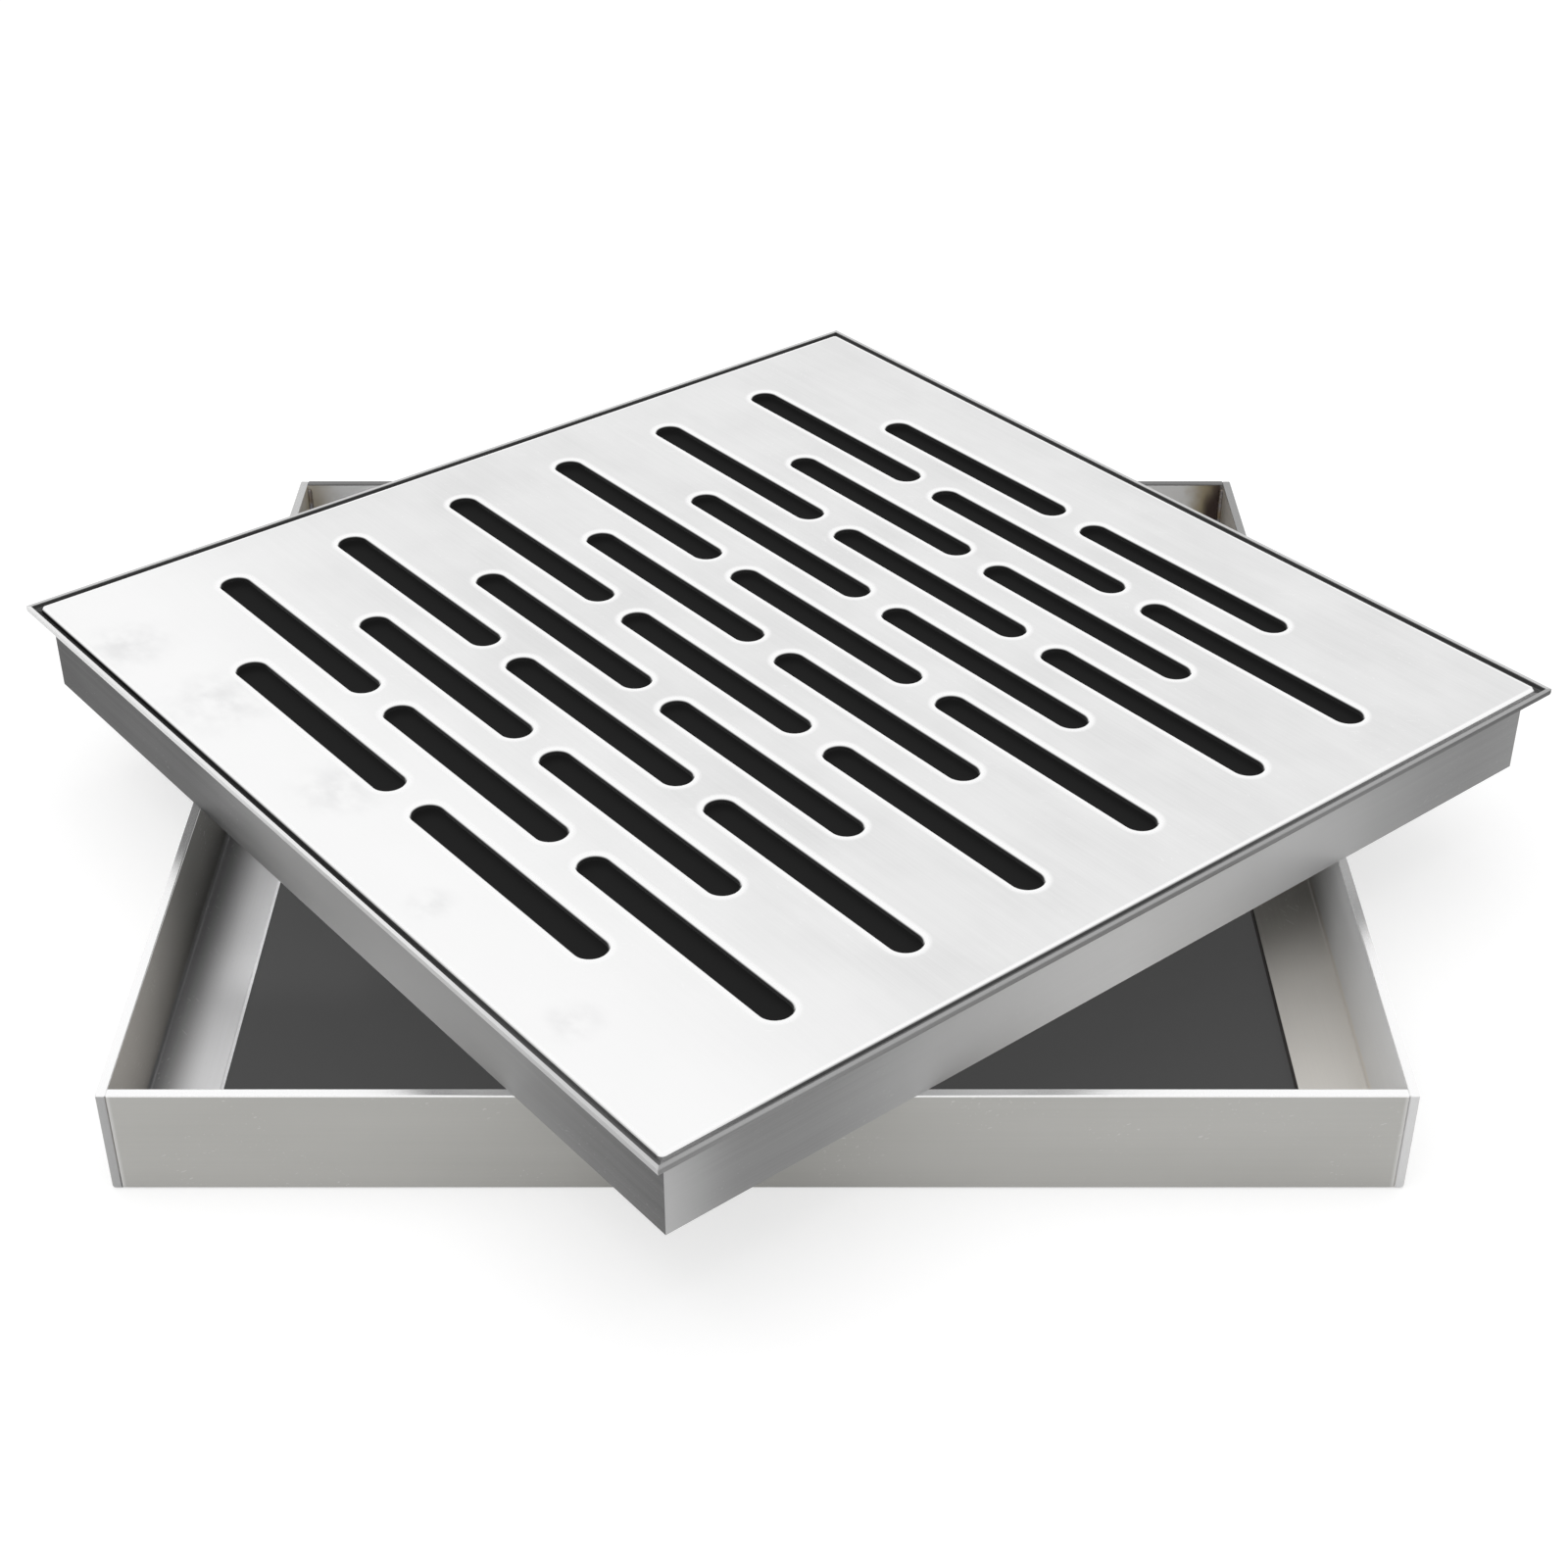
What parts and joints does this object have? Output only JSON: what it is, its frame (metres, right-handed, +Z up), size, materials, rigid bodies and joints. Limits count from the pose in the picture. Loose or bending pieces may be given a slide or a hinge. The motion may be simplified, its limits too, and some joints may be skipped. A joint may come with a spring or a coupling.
{
  "type": "drain grate",
  "caption": "Square slotted steel floor drain grate with a folded rim and skirt, lying turned across its open ledged frame.",
  "frame": {"origin": "on the ground under the centre of the grate", "axes": "+Z up, +X to the right along the frame's front wall, -Y towards the viewer of the picture"},
  "size_m": [0.422, 0.422, 0.0545],
  "materials": {
    "frame_steel": "satin sheet, lightly brushed",
    "weld_steel": "weld bead with heat tint",
    "plate_steel": "bright satin, faintly smudged",
    "edge_steel": "bright satin sheet",
    "bar_steel": "mill finish"
  },
  "bodies": {
    "root": {"frame_left_angle": "frame_steel", "frame_right_angle": "frame_steel", "frame_front_angle": "frame_steel", "frame_back_angle": "frame_steel", "frame_corner_welds": "weld_steel", "slotted_plate": "plate_steel", "grate_edge_front_left": "edge_steel", "grate_edge_front_right": "edge_steel", "grate_edge_back_right": "edge_steel", "grate_edge_back_left": "edge_steel", "grate_corner_welds": "weld_steel", "stiffener_bar_front": "bar_steel", "stiffener_bar_back": "bar_steel"}
  },
  "joints": []
}
